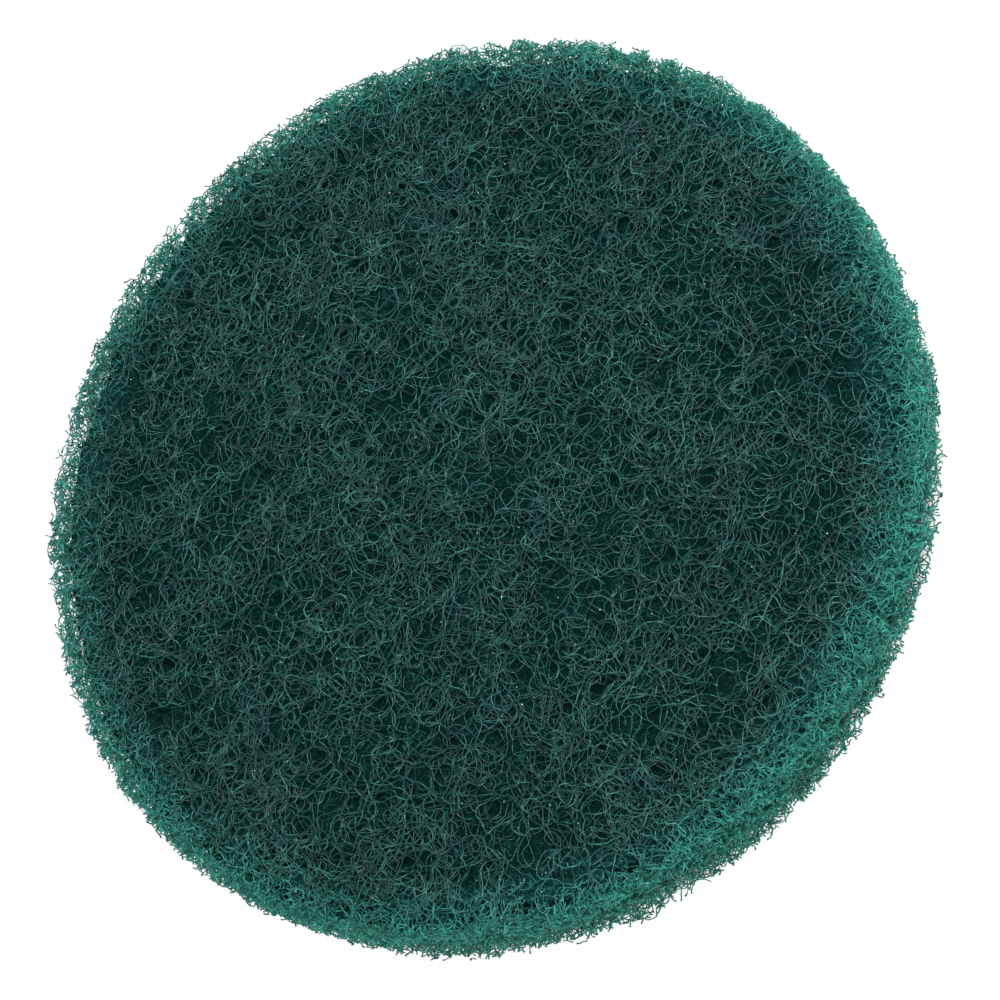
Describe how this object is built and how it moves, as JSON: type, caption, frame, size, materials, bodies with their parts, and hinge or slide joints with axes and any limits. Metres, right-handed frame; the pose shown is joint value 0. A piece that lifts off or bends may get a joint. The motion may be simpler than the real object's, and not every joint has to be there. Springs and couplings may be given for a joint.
{
  "type": "scouring pad",
  "caption": "Round die-cut scouring pad of nonwoven crimped nylon fibre bonded with green abrasive resin, pressed onto a drill's gripping disc to scrub surfaces.",
  "frame": {"origin": "middle of the back face, on the surface that the pad lies on", "axes": "+Z out of the front face, through the pad's thickness; +X and +Y along the faces, either way round because the disc is round"},
  "size_m": [0.1, 0.1, 0.0105],
  "materials": {
    "resin_coated_nylon_web": "open web of crimped nylon fibres in dark green, coated with a slightly glossy abrasive resin"
  },
  "bodies": {
    "root": {"scouring_pad": "resin_coated_nylon_web"}
  },
  "joints": []
}
